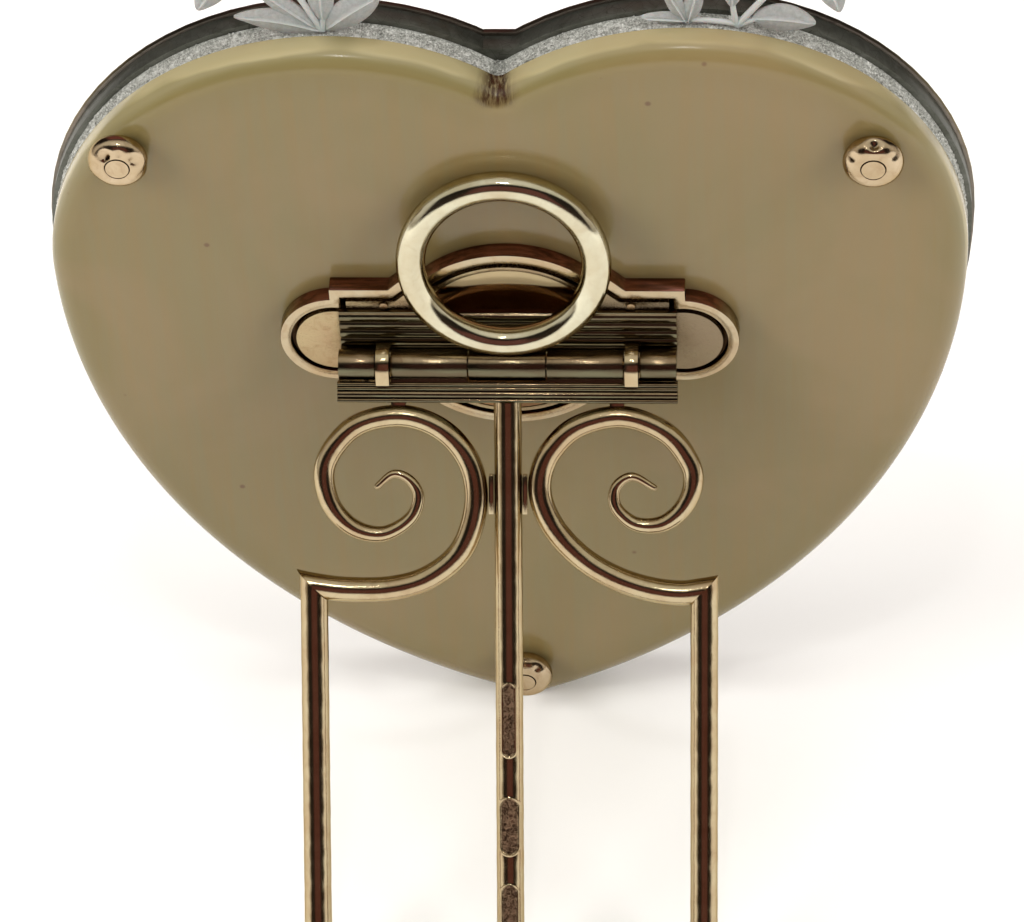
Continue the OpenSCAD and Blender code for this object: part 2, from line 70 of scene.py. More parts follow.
pin = Vector(next(j for j in frame["joints"] if j["name"] == "strut_fold")["pos_m"])
FOOT_U = (pin.z / MM - BAR_R) / math.cos(OPEN - LEAN)


def on_pin(turn):
    """Matrix from local millimetres about the pin, turned from the frame, to the row frame."""
    axes = Matrix(((-1, 0, 0),
                   (0, math.sin(LEAN), math.cos(LEAN)),
                   (0, math.cos(LEAN), -math.sin(LEAN))))
    c, s = math.cos(turn), math.sin(turn)
    place = (axes @ Matrix(((1, 0, 0), (0, c, s), (0, -s, c)))).to_4x4()
    return Matrix.Translation(pin) @ place @ Matrix.Scale(MM, 4)


ON_FRAME = on_pin(0) @ Matrix.Translation((0, 0, -AXIS_H))
ON_STRUT = on_pin(OPEN)
ON_RING = on_pin(RING_LEAN)

# ---- camera -------------------------------------------------------------------

AZIMUTH, ELEVATION, ROLL = math.radians(184.7), math.radians(39.6), math.radians(-2.7)
DISTANCE, LENS, SENSOR = 0.3301, 171.7, 36
aim = Vector((-0.00031, pin.y + 0.00383, pin.z - 0.00524))
back = Vector((math.sin(AZIMUTH) * math.cos(ELEVATION),
               -math.cos(AZIMUTH) * math.cos(ELEVATION), math.sin(ELEVATION)))
side = Vector((0, 0, 1)).cross(back).normalized()
upward = back.cross(side)
side, upward = (side * math.cos(ROLL) + upward * math.sin(ROLL),
                upward * math.cos(ROLL) - side * math.sin(ROLL))
camera = bpy.data.objects.new("camera", bpy.data.cameras.new("camera"))
camera.data.lens, camera.data.sensor_width = LENS, SENSOR
camera.data.clip_start, camera.data.clip_end = 0.01, 20
camera.matrix_world = (Matrix.Translation(aim + back * DISTANCE)
                       @ Matrix((side, upward, back)).transposed().to_4x4())
scene.collection.objects.link(camera)
scene.camera = camera

# ---- shader building ----------------------------------------------------------

# directions up the frame and out of its back
UP_FRAME = (0, math.sin(LEAN), math.cos(LEAN))
OUT_FRAME = (0, math.cos(LEAN), -math.sin(LEAN))


def fill_ramp(elements, stops):
    """stops are (position, grey level or colour)."""
    elements.remove(elements[1])
    for i, (position, level) in enumerate(stops):
        point = elements[0] if i == 0 else elements.new(position)
        point.position = position
        colour = (level, level, level) if isinstance(level, (int, float)) else level
        point.color = (*colour, 1)


class Shader:
    """A node material with a Principled surface and object coordinates in millimetres."""

    def __init__(self, name, **sockets):
        self.material = bpy.data.materials.new(name)
        self.material.use_nodes = True
        self.tree = self.material.node_tree
        self.bsdf = self.tree.nodes["Principled BSDF"]
        for socket, value in sockets.items():
            self.bsdf.inputs[socket.replace("_", " ")].default_value = value
        self.place = self.node("Mapping", self.node("TexCoord").outputs["Object"])
        self.place.inputs["Scale"].default_value = (1000, 1000, 1000)

    def node(self, kind, vector=None, **inputs):
        made = self.tree.nodes.new("ShaderNode" + kind)
        if vector is not None:
            self.tree.links.new(vector, made.inputs["Vector"])
        for name, value in inputs.items():
            self.put(made.inputs[name.replace("_", " ")], value)
        return made

    def put(self, socket, value):
        if isinstance(value, bpy.types.NodeSocket):
            self.tree.links.new(value, socket)
        else:
            socket.default_value = value

    def stretched(self, scale):
        made = self.node("Mapping", self.place.outputs[0])
        made.inputs["Scale"].default_value = scale
        return made.outputs[0]

    def noise(self, scale, detail=4.0, rough=0.6, vector=None, warp=0.0):
        made = self.node("TexNoise", vector or self.place.outputs[0], Scale=scale,
                         Detail=detail, Roughness=rough, Distortion=warp)
        return made.outputs[0]

    def cells(self, scale, feature="F1"):
        made = self.node("TexVoronoi", self.place.outputs[0], Scale=scale)
        made.feature = feature
        return made.outputs[0]

    def ramp(self, value, stops):
        """stops are (position, grey level or colour)."""
        made = self.node("ValToRGB", Fac=value)
        fill_ramp(made.color_ramp.elements, stops)
        return made.outputs[0]

    def mix(self, factor, a, b):
        made = self.tree.nodes.new("ShaderNodeMix")
        made.data_type = "RGBA"
        self.put(made.inputs["Factor"], factor)
        self.put(made.inputs[6], (*a, 1) if isinstance(a, tuple) else a)
        self.put(made.inputs[7], (*b, 1) if isinstance(b, tuple) else b)
        return made.outputs[2]

    def bump(self, *layers):
        """Each layer is (height, distance in mm)."""
        normal = None
        for height, distance in layers:
            made = self.node("Bump", Height=height, Distance=distance * MM)
            if normal is not None:
                self.put(made.inputs["Normal"], normal)
            normal = made.outputs[0]
        self.put(self.bsdf.inputs["Normal"], normal)

    def set(self, **sockets):
        for socket, value in sockets.items():
            self.put(self.bsdf.inputs[socket.replace("_", " ")], value)
        return self.material

    def along(self, direction):
        """How far the surface's own normal points in a fixed direction."""
        made = self.node("VectorMath")
        made.operation = "DOT_PRODUCT"
        self.tree.links.new(self.node("TexCoord").outputs["Normal"], made.inputs[0])
        made.inputs[1].default_value = direction
        return made.outputs["Value"]

    def maths(self, operation, a, b):
        made = self.node("Math")
        made.operation = operation
        self.put(made.inputs[0], a)
        self.put(made.inputs[1], b)
        return made.outputs[0]

    def fade(self, value, start, end, low=0.0, high=1.0):
        """Goes from low to high as the value goes from start to end."""
        made = self.node("MapRange", Value=value)
        made.inputs["From Min"].default_value = start
        made.inputs["From Max"].default_value = end
        made.inputs["To Min"].default_value = low
        made.inputs["To Max"].default_value = high
        return made.outputs[0]

    def from_pin(self, direction):
        """Millimetres from the hinge pin in a fixed direction, at rest."""
        made = self.node("VectorMath")
        made.operation = "DOT_PRODUCT"
        self.tree.links.new(self.place.outputs[0], made.inputs[0])
        made.inputs[1].default_value = direction
        return self.maths("SUBTRACT", made.outputs["Value"], Vector(direction).dot(pin) / MM)

    def attribute(self, name):
        made = self.tree.nodes.new("ShaderNodeAttribute")
        made.attribute_name = name
        return made.outputs["Fac"]


METAL_EDGE_TINT = (0.62, 0.55, 0.40, 1)
# dark colours for real dirt and painted shade in corners, and for painted shade in the groove
CORNER_DIRT_AND_SHADE, GROOVE_SHADE = (0.055, 0.032, 0.018), (0.06, 0.038, 0.025)
# a pale painted reflection for the dish, and painted shade for the right-hand panel
CRESCENT_REFLECTION, PANEL_SHADE = (0.46, 0.37, 0.21), (0.20, 0.155, 0.105)
GROOVE_TOP = 1.2 - AXIS_H
# the dish's painted crescent reflection fades in between these mm up the frame from the pin
DISH_CRESCENT_FROM, DISH_CRESCENT_TO = 5.0, 5.2


def gold(name, light, deep, wear=1.0, streak=(9, 9, 1.2), shine=0.1, dirt_and_shade_reach=0.0,
         marked=False, sides=False, painted_underside_shade=False, painted_crescent=False, shaded=False):
    """Polished rose gold: alloy clouds, faint scratches, tarnish in patches, dirt and painted shade in
    corners.

    streak stretches the scratches, shine is the least roughness, and the number after it is the reach
    in mm of dirt and painted shade in corners. The flags add each part's marks and painted light, below.
    """
    s = Shader(name, Metallic=1.0)
    s.bsdf.inputs["Specular Tint"].default_value = METAL_EDGE_TINT
    clouds = s.noise(0.35, 3.0, 0.55, warp=0.6)
    tarnish = s.ramp(s.noise(0.9, 6.0, 0.65, warp=1.2), [(0.5, 0), (0.78, 0.5 * wear)])
    scratches = s.noise(1.6, 8.0, 0.8, s.stretched(streak))
    dark = tuple(c * k for c, k in zip(deep, (0.62, 0.5, 0.42)))
    colour = s.mix(s.ramp(clouds, [(0.35, 0), (0.7, 1)]), light, deep)
    colour = s.mix(tarnish, colour, dark)
    if dirt_and_shade_reach:
        # corners within reach are darkened with real dirt and painted shade
        nook = s.tree.nodes.new("ShaderNodeAmbientOcclusion")
        nook.samples = 6
        nook.inputs["Distance"].default_value = dirt_and_shade_reach * MM
        corner_dirt_and_shade = s.ramp(nook.outputs["AO"], [(0.3, 0.93), (0.75, 0.3), (0.98, 0)])
        colour = s.mix(corner_dirt_and_shade, colour, CORNER_DIRT_AND_SHADE)
    if painted_underside_shade:
        # surfaces that face up keep the bright colour, and the rest is painted brown as shade
        patches = s.noise(0.5, 3.0, 0.6, s.stretched((0.5, 3, 3)))
        underside_shade = s.mix(s.ramp(patches, [(0.4, 0), (0.6, 1)]), (0.155, 0.145, 0.09), (0.13, 0.105, 0.065))
        colour = s.mix(s.ramp(s.along((0, 0, 1)), [(0.52, 1), (0.74, 0)]), colour, underside_shade)
    if painted_crescent:
        # a pale crescent, less metallic, is painted in the upper slope of the dish as a reflection
        crescent = s.fade(s.from_pin(UP_FRAME), DISH_CRESCENT_FROM, DISH_CRESCENT_TO, high=0.9)
        colour = s.mix(crescent, colour, CRESCENT_REFLECTION)
        s.put(s.bsdf.inputs["Metallic"], s.fade(crescent, 0, 1, 1, 0.15))
    if shaded:
        # seen from behind, the panel on the right is painted browner as shade
        across = s.node("SeparateXYZ", s.place.outputs[0])
        right_panel_shade = s.fade(across.outputs[0], 9, -11, high=0.85)
        colour = s.mix(right_panel_shade, colour, PANEL_SHADE)
    rough = s.ramp(scratches, [(0.35, shine), (0.75, shine + 0.09 * wear)])
    layers = [(scratches, 0.006 * wear), (s.noise(0.55, 2.0, 0.4), 0.03)]
    if sides:
        # the sides that face up the frame are painted dark red with streaks as a reflection, and the
        # groove dark as shade
        patches = s.noise(0.8, 4.0, 0.6, s.stretched((0.35, 3, 3)))
        maroon_reflection = s.mix(s.ramp(patches, [(0.42, 0), (0.6, 1)]), (0.17, 0.065, 0.055), (0.45, 0.18, 0.17))
        colour = s.mix(s.ramp(s.along(UP_FRAME), [(0.55, 0), (0.85, 0.9)]), colour, maroon_reflection)
        sunk = s.fade(s.from_pin(OUT_FRAME), GROOVE_TOP, GROOVE_TOP - 0.1)
        groove = s.maths("MULTIPLY", sunk, s.ramp(s.along(OUT_FRAME), [(0.7, 0), (0.9, 1)]))
        colour = s.mix(groove, colour, GROOVE_SHADE)
    if marked:
        # the floors of the recesses are uneven and dull, and painted dark brown as their shade and dark
        # reflection
        pressed = s.attribute("pressed")
        uneven = s.noise(3.2, 3.0, 0.6, warp=1.5)
        recess_floor_shade = s.mix(s.ramp(uneven, [(0.4, 0), (0.6, 1)]), (0.06, 0.035, 0.022), (0.30, 0.19, 0.12))
        colour = s.mix(pressed, colour, recess_floor_shade)
        rough = s.mix(pressed, rough, (0.3, 0.3, 0.3))
        layers.append((s.mix(pressed, (0.0, 0.0, 0.0), uneven), 0.12))
    s.bump(*layers)
    return s.set(Base_Color=colour, Roughness=rough)


PALE, ROSE = (0.53, 0.44, 0.28), (0.46, 0.345, 0.21)
WARM, DEEP = (0.40, 0.29, 0.17), (0.31, 0.21, 0.12)
BROWN, DARK_BROWN = (0.36, 0.285, 0.18), (0.28, 0.20, 0.12)
bar_gold = gold("bar_gold", PALE, ROSE, 0.8, shine=0.085)
mark_gold = gold("mark_gold", PALE, ROSE, 0.8, shine=0.085, marked=True)
scroll_gold = gold("scroll_gold", PALE, ROSE, 0.9, (5, 5, 5), shine=0.09)
ring_gold = gold("ring_gold", (0.64, 0.61, 0.46), (0.55, 0.48, 0.33), 0.5, (6, 6, 6), shine=0.08)
nut_gold = gold("nut_gold", (0.56, 0.45, 0.31), ROSE, 1.0, (4, 4, 4), shine=0.11, dirt_and_shade_reach=0.5)
hinge_gold = gold("hinge_gold", BROWN, DARK_BROWN, 1.2, (0.8, 12, 12), shine=0.12, dirt_and_shade_reach=0.7,
                  painted_underside_shade=True)
lug_gold = gold("lug_gold", PALE, ROSE, 0.8, (5, 5, 5), dirt_and_shade_reach=0.3)
cartouche_gold = gold("cartouche_gold", (0.48, 0.405, 0.28), ROSE, 0.9, (6, 6, 6), dirt_and_shade_reach=0.3, sides=True)
panel_gold = gold("panel_gold", (0.43, 0.35, 0.20), WARM, 1.6, (3, 14, 14), shine=0.2, dirt_and_shade_reach=0.3,
                  shaded=True)
# the dish is painted dark brown as the shade and dark reflection in its hollow
dish_gold = gold("dish_gold", (0.28, 0.16, 0.08), (0.14, 0.075, 0.04), 0.8, (6, 6, 6), dirt_and_shade_reach=0.5,
                 painted_crescent=True)
pin_gold = gold("pin_gold", WARM, DEEP, 1.5, (5, 5, 5), shine=0.2, dirt_and_shade_reach=0.3)
edge_gold = gold("edge_gold", (0.22, 0.19, 0.16), (0.15, 0.14, 0.12), 1.2, (2, 2, 8), shine=0.3)


def make_ivory():
    """Warm khaki heart paling to a yellow, slightly see-through rim, with broad soft grain.

    Its roughness stays below 0.26, because a wider range shows as blotches.
    """
    s = Shader("ivory", IOR=1.5, Subsurface_Weight=0.12, Subsurface_Scale=0.0012)
    s.bsdf.inputs["Subsurface Radius"].default_value = (1.0, 0.75, 0.42)
    inset = s.attribute("inset")
    wander = s.fade(s.noise(0.12, 2.0, 0.5), 0.3, 0.7, -0.012, 0.012)
    # the band just in from the rim is painted darker as shade, against the light its rounded edge catches
    depth = s.ramp(s.maths("ADD", inset, wander), [
        (0.0, (0.32, 0.275, 0.15)), (0.008, (0.205, 0.175, 0.087)), (0.03, (0.176, 0.146, 0.063)),
        (0.08, (0.178, 0.138, 0.052)), (0.18, (0.188, 0.140, 0.051)), (0.3, (0.202, 0.147, 0.056)),
        (0.6, (0.198, 0.145, 0.057)), (1.0, (0.189, 0.142, 0.057))])
    broad = s.noise(1.0, 3.0, 0.6, s.stretched((1.1, 0.12, 0.05)), warp=0.3)
    fibres = s.noise(1.0, 4.0, 0.7, s.stretched((6.0, 0.4, 0.25)))
    clouds = s.noise(0.07, 3.0, 0.5, warp=0.8)
    face = s.fade(inset, 0.06, 0.22)
    streaks = s.maths("MULTIPLY", s.ramp(broad, [(0.40, 0), (0.60, 0.5)]), face)
    colour = s.mix(streaks, depth, (0.182, 0.152, 0.068))
    lines = s.maths("MULTIPLY", s.ramp(fibres, [(0.45, 0), (0.8, 0.1)]), face)
    colour = s.mix(lines, colour, (0.16, 0.12, 0.065))
    colour = s.mix(s.ramp(clouds, [(0.45, 0), (0.66, 0.35)]), colour, (0.245, 0.165, 0.08))
    specks = s.ramp(s.cells(0.2), [(0.0, 0.9), (0.03, 0.7), (0.05, 0)])
    colour = s.mix(specks, colour, (0.11, 0.055, 0.025))
    patches = s.noise(1.5, 5.0, 0.65, s.stretched((3.6, 0.8, 0.8)))
    stain = s.maths("MULTIPLY", s.attribute("stain"), s.ramp(patches, [(0.34, 0.3), (0.55, 1)]))
    colour = s.mix(stain, colour, (0.035, 0.015, 0.007))
    s.bump((broad, 0.004), (s.noise(0.2, 2.0, 0.5), 0.03), (fibres, 0.0015))
    rough = s.ramp(s.noise(0.6, 5.0, 0.6), [(0.3, 0.16), (0.75, 0.25)])
    return s.set(Base_Color=colour, Roughness=rough)


def make_granular():
    """Frosted, crushed silver grains."""
    s = Shader("granular_silver", Metallic=0.55)
    grains = s.cells(5.5)
    tint = s.ramp(s.noise(7.0, 3.0, 0.7), [
        (0.3, (0.20, 0.205, 0.185)), (0.5, (0.46, 0.47, 0.44)), (0.7, (0.90, 0.91, 0.88))])
    frost = s.ramp(s.noise(1.3, 5.0, 0.7), [(0.5, 0), (0.64, 0.6)])
    tint = s.mix(frost, tint, (0.93, 0.94, 0.91))
    s.bump((grains, 0.09), (s.noise(9.0, 3.0, 0.8), 0.05))
    return s.set(Base_Color=tint, Roughness=s.ramp(grains, [(0.1, 0.28), (0.7, 0.6)]))


def make_dark_silver():
    """Oxidised silver: smoky, rubbed brighter in places, with copper tints and marks."""
    s = Shader("dark_silver", Metallic=0.82)
    smoke = s.noise(0.3, 5.0, 0.62, warp=1.0)
    rub = s.ramp(s.noise(0.9, 8.0, 0.72, s.stretched((1, 1, 3))), [(0.5, 0), (0.75, 0.55)])
    dull = s.ramp(smoke, [(0.35, 0), (0.68, 1)])
    colour = s.mix(dull, (0.083, 0.086, 0.070), (0.142, 0.147, 0.128))
    colour = s.mix(rub, colour, (0.20, 0.203, 0.185))
    copper = s.ramp(s.noise(0.16, 3.0, 0.6), [(0.6, 0), (0.75, 0.6)])
    colour = s.mix(copper, colour, (0.12, 0.085, 0.045))
    marks = s.ramp(s.cells(1.4, feature="DISTANCE_TO_EDGE"), [(0.0, 0.6), (0.02, 0)])
    colour = s.mix(marks, colour, (0.03, 0.03, 0.025))
    s.bump((rub, 0.01), (smoke, 0.03))
    return s.set(Base_Color=colour, Roughness=s.ramp(smoke, [(0.3, 0.34), (0.8, 0.5)]))


def make_leaf():
    """Frosted carved crystal with clearer, brighter ribs."""
    s = Shader("frosted_leaf", IOR=1.5, Subsurface_Weight=0.25, Subsurface_Scale=0.0006)
    s.bsdf.inputs["Transmission Weight"].default_value = 0.2
    frost = s.noise(3.5, 6.0, 0.7)
    colour = s.mix(s.ramp(frost, [(0.35, 0), (0.7, 1)]), (0.40, 0.415, 0.41), (0.27, 0.285, 0.28))
    ribs = s.ramp(s.attribute("rib"), [(0.0, 0.9), (0.12, 0.25), (0.3, 0)])
    colour = s.mix(ribs, colour, (0.5, 0.52, 0.51))
    s.bump((frost, 0.02))
    return s.set(Base_Color=colour, Roughness=s.ramp(frost, [(0.3, 0.3), (0.75, 0.55)]))


def make_paper(name, light, dark, scale):
    """Matt paper or card, its pulp light and dark at the given scale."""
    s = Shader(name)
    pulp = s.noise(scale, 8.0, 0.75)
    fibre = s.noise(scale, 3.0, 0.6, s.stretched((0.4, 3, 3)))
    colour = s.mix(s.ramp(pulp, [(0.3, 0), (0.75, 1)]), light, dark)
    colour = s.mix(s.ramp(fibre, [(0.5, 0), (0.8, 0.4)]), colour, tuple(0.8 * c for c in dark))
    s.bump((pulp, 0.02))
    return s.set(Base_Color=colour, Roughness=s.ramp(fibre, [(0.3, 0.8), (0.8, 0.95)]))


def make_crystal():
    """Clear, slightly wavy rock crystal."""
    s = Shader("crystal", IOR=1.5)
    s.bsdf.inputs["Transmission Weight"].default_value = 1.0
    wisps = s.noise(0.25, 3.0, 0.5, warp=1.5)
    s.bump((wisps, 0.004))
    return s.set(Base_Color=s.ramp(wisps, [(0.3, (0.97, 0.99, 0.99)), (0.8, (0.90, 0.94, 0.95))]),
                 Roughness=s.ramp(wisps, [(0.4, 0.01), (0.8, 0.05)]))


ivory = make_ivory()
granular = make_granular()
dark_silver = make_dark_silver()
leaf_glass = make_leaf()
crystal = make_crystal()
mount_paper = make_paper("mount_paper", (0.86, 0.82, 0.70), (0.76, 0.70, 0.56), 1.2)
picture_paper = make_paper("picture_paper", (0.70, 0.64, 0.50), (0.58, 0.50, 0.36), 0.5)
backing_card = make_paper("backing_card", (0.42, 0.33, 0.22), (0.30, 0.22, 0.14), 2.0)

# ---- mesh building ------------------------------------------------------------


SHARP_EDGE = math.radians(42)


def piece(name, bm, place, material, body, node):
    """Turns local-millimetre geometry into a finished piece that stands for a CAD node."""
    bmesh.ops.remove_doubles(bm, verts=bm.verts, dist=1e-5)
    bmesh.ops.recalc_face_normals(bm, faces=bm.faces)
    mesh = bpy.data.meshes.new(name)
    bm.to_mesh(mesh)
    bm.free()
    mesh.transform(place)
    mesh.shade_smooth()
    mesh.set_sharp_from_angle(angle=SHARP_EDGE)
    mesh.materials.append(material)
    made = bpy.data.objects.new(name, mesh)
    scene.collection.objects.link(made)
    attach(made, body)
    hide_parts(node)


def skin(bm, rings, cap_low=True, cap_high=True):
    """Joins equal rings of points with quads. Returns the rings of vertices."""
    made = [[bm.verts.new(p) for p in ring] for ring in rings]
    n = len(made[0])
    for a, b in zip(made, made[1:]):
        for k in range(n):
            bm.faces.new((a[k], a[(k + 1) % n], b[(k + 1) % n], b[k]))
    if cap_low:
        bm.faces.new(list(reversed(made[0])))
    if cap_high:
        bm.faces.new(made[-1])
    return made


def lathe(profile, centre, steps, bend):
    """Turns (radius, height) points about z; bend moves each point. Returns rings of points."""
    cx, cy = centre
    rings = []
    for r, z in profile:
        ring = []
        for k in range(steps):
            a = 2 * math.pi * k / steps
            ring.append(bend(Vector((r * math.cos(a), r * math.sin(a), z))) + Vector((cx, cy, 0)))
        rings.append(ring)
    return rings


def smooth_curve(points, steps):
    """Catmull-Rom curve through points given as (x, y)."""
    p = [Vector((*q, 0)) for q in points]
    p = [2 * p[0] - p[1]] + p + [2 * p[-1] - p[-2]]
    out = []
    for i in range(len(p) - 3):
        for k in range(steps):
            t = k / steps
            a, b, c, d = p[i:i + 4]
            out.append(0.5 * (2 * b + (c - a) * t + (2 * a - 5 * b + 4 * c - d) * t * t
                              + (3 * b - a - 3 * c + d) * t ** 3))
    return out + [p[-2]]


def wire(bm, line, radius, sides, tip=False):
    """Sweeps a round wire along a line in the xy plane; radius(s) for s from 0 to 1.

    A rounded tip closes the far end.
    """
    lengths = [0.0]
    for a, b in zip(line, line[1:]):
        lengths.append(lengths[-1] + (b - a).length)
    rings = []
    total = lengths[-1]
    for i, p in enumerate(line):
        along = (line[min(i + 1, len(line) - 1)] - line[max(i - 1, 0)]).normalized()
        across = Vector((-along.y, along.x, 0))
        r = radius(lengths[i] / total)
        rings.append([p + across * (r * math.cos(a)) + Vector((0, 0, r * math.sin(a)))
                      for a in [2 * math.pi * k / sides for k in range(sides)]])
    if tip:
        along = (line[-1] - line[-2]).normalized()
        centre, last = line[-1], rings[-1]
        for a in (25, 50, 72):
            c, s = math.cos(math.radians(a)), math.sin(math.radians(a))
            rings.append([centre + (q - centre) * c + along * (radius(1) * s) for q in last])
    skin(bm, rings)


def slice_off(bm, point, normal):
    """Cuts away what lies on the normal's side of a plane and closes the cut."""
    cut = bmesh.ops.bisect_plane(bm, geom=bm.verts[:] + bm.edges[:] + bm.faces[:], plane_co=point,
                                 plane_no=normal, clear_outer=True, dist=1e-6)
    edges = [e for e in cut["geom_cut"] if isinstance(e, bmesh.types.BMEdge)]
    bmesh.ops.holes_fill(bm, edges=edges, sides=0)


def arc(c, r, a0, a1, n):
    """n points of a circle from angle a0 up to, but not at, a1."""
    return [(c[0] + r * math.cos(a), c[1] + r * math.sin(a))
            for a in [a0 + (a1 - a0) * i / n for i in range(n)]]


def heart(d, fine=3):
    """The heart's outline moved inwards by d, from the tip round by the right lobe.

    fine is the number of points in a short step of the curve.
    """
    blunt = TIP_R - d > 0.05
    start = math.atan2(-TIP_DROP, FLANK_X) if blunt else -math.acos(FLANK_X / (FLANK_R - d))
    turn = math.pi - math.acos(LOBE_X / (LOBE_R + CLEFT_R))
    cleft = (0, LOBE_LEVEL + (LOBE_R + CLEFT_R) * math.sin(turn))
    tip = arc((0, LOBE_LEVEL - TIP_DROP), TIP_R - d, -math.pi / 2, start, 5 * fine) if blunt else []
    half = (tip + arc((-FLANK_X, LOBE_LEVEL), FLANK_R - d, start, 0, 24 * fine)
            + arc((LOBE_X, LOBE_LEVEL), LOBE_R - d, 0, turn, 26 * fine)
            + arc(cleft, CLEFT_R + d, turn - math.pi, -math.pi / 2, 4 * fine))
    end = (0, cleft[1] - CLEFT_R - d)
    whole = half + [end] + [(-x, y) for x, y in reversed(half[1:])]
    return [Vector((x, y + SKEW * x, 0)) for x, y in whole]


CLEFT_Y = LOBE_LEVEL + math.sqrt((LOBE_R + CLEFT_R) ** 2 - LOBE_X ** 2) - CLEFT_R

# ---- ivory back ---------------------------------------------------------------

# the worn edge is rounder than the plain solid's
WORN_WIDE, WORN_HIGH = 1.6 * IVORY_EDGE, 1.3 * IVORY_EDGE
FACE_Z, FACE_INSET, GRID_INSET = -0.005, 3.2, 3.8
GRID_X, GRID_Y = 0.95, 0.85
INSET_SPAN = 12
STAIN_NARROW, STAIN_LOW, STAIN_REACH, STAIN_SOFT = 1.1, 1.9, 1.7, 0.8


def build_ivory():
    """The heart, with its depth in from the edge and its stain kept for the material."""
    bm = bmesh.new()
    inset_layer = bm.verts.layers.float.new("inset")
    stain_layer = bm.verts.layers.float.new("stain")
    wide, high = WORN_WIDE, WORN_HIGH
    rows = [(0.03, -IVORY_T + 0.02), (0.0, -IVORY_T + 0.12), (0.0, -high)]
    rows += [(wide * (1 - math.cos(a)), -high * (1 - math.sin(a)) - 0.006)
             for a in [math.radians(7.5 * k) for k in range(1, 13)]]
    rows += [(2.7, FACE_Z), (FACE_INSET, FACE_Z)]
    rings = skin(bm, [[p + Vector((0, 0, z)) for p in heart(d)] for d, z in rows], cap_high=False)
    for (d, z), ring in zip(rows, rings):
        for v in ring:
            v[inset_layer] = d
    inner = rings[-1]
    # the flat face is filled with a grid of points inside the last ring
    edge = [v.co.xy for v in inner]
    n = len(edge)

    def depth(x, y):
        y -= SKEW * x + LOBE_LEVEL
        if y > 0:
            return LOBE_R - math.hypot(abs(x) - LOBE_X, y)
        return FLANK_R - math.hypot(abs(x) + FLANK_X, y)

    extra = []
    for i in range(-32, 33):
        for j in range(-46, 30):
            x, y = (i + (0.5 if j % 2 else 0)) * GRID_X, j * GRID_Y
            d = depth(x, y)
            if d > GRID_INSET:
                extra.append((Vector((x, y)), d))
    points = edge + [p for p, d in extra]
    ring_edges = [(i, (i + 1) % n) for i in range(n)]
    verts, _, faces, origin, _, _ = delaunay_2d_cdt(points, ring_edges, [], 1, 1e-5)
    made = []
    for k, p in enumerate(verts):
        src = origin[k][0] if origin[k] else -1
        if 0 <= src < n:
            made.append(inner[src])
        else:
            v = bm.verts.new((p.x, p.y, FACE_Z))
            v[inset_layer] = extra[src - n][1] if src >= n else FACE_INSET
            made.append(v)
    for f in faces:
        bm.faces.new([made[i] for i in f])
    for v in bm.verts:
        v[inset_layer] = min(v[inset_layer], INSET_SPAN) / INSET_SPAN
        reach = math.hypot((v.co.x + 0.1) * STAIN_NARROW, (v.co.y - CLEFT_Y + 0.1) * STAIN_LOW)
        v[stain_layer] = max(0.0, min(1.0, (STAIN_REACH - reach) / STAIN_SOFT))
    piece("ivory_plate", bm, ON_FRAME, ivory, "frame", "ivory_back")


build_ivory()

# ---- granular band ------------------------------------------------------------

BAND_ROWS, BAND_STEP, BAND_DEPTH, GRAINS = 13, 0.12, 1.2, 2600


def build_band():
    """A crushed strip with loose grains standing on it."""
    rng = random.Random(41)
    bm = bmesh.new()
    outline = []
    base = heart(0.08, 4)
    for a, b in zip(base, base[1:] + base[:1]):
        n = max(1, round((b - a).length / BAND_STEP))
        outline += [a.lerp(b, k / n) for k in range(n)]
    low, high = -IVORY_T - LINER_T, -IVORY_T
    last = BAND_ROWS - 1
    n = len(outline)
    normals = []
    for i in range(n):
        along = outline[(i + 1) % n] - outline[i - 1]
        normals.append(Vector((along.y, -along.x, 0)).normalized())
    rings = [[outline[i] + Vector((0, 0, low + (high - low) * k / last))
              + normals[i] * (rng.uniform(-0.07, 0.07) if 0 < k < last else -0.02)
              for i in range(n)] for k in range(BAND_ROWS)]
    inner = [p - normals[i] * BAND_DEPTH for i, p in enumerate(outline)]
    rings = ([[p + Vector((0, 0, low)) for p in inner]] + rings
             + [[p + Vector((0, 0, high)) for p in inner]])
    skin(bm, rings, cap_low=False, cap_high=False)
    ball = bmesh.new()
    bmesh.ops.create_icosphere(ball, subdivisions=1, radius=1)
    corners = [v.co.copy() for v in ball.verts]
    sides = [[v.index for v in f.verts] for f in ball.faces]
    ball.free()
    for _ in range(GRAINS):
        i = rng.randrange(n)
        r = rng.uniform(0.06, 0.13)
        spot = (outline[i] + normals[i] * rng.uniform(-0.03, 0.03)
                + Vector((0, 0, rng.uniform(low + 0.1, high - 0.1))))
        size = Vector((r, r, r * rng.uniform(0.6, 1.2)))
        grain = [bm.verts.new(spot + corner * size) for corner in corners]
        for face in sides:
            bm.faces.new([grain[k] for k in face])
    piece("granular_strip", bm, ON_FRAME, granular, "frame", "granular_band")


build_band()

# ---- strut --------------------------------------------------------------------

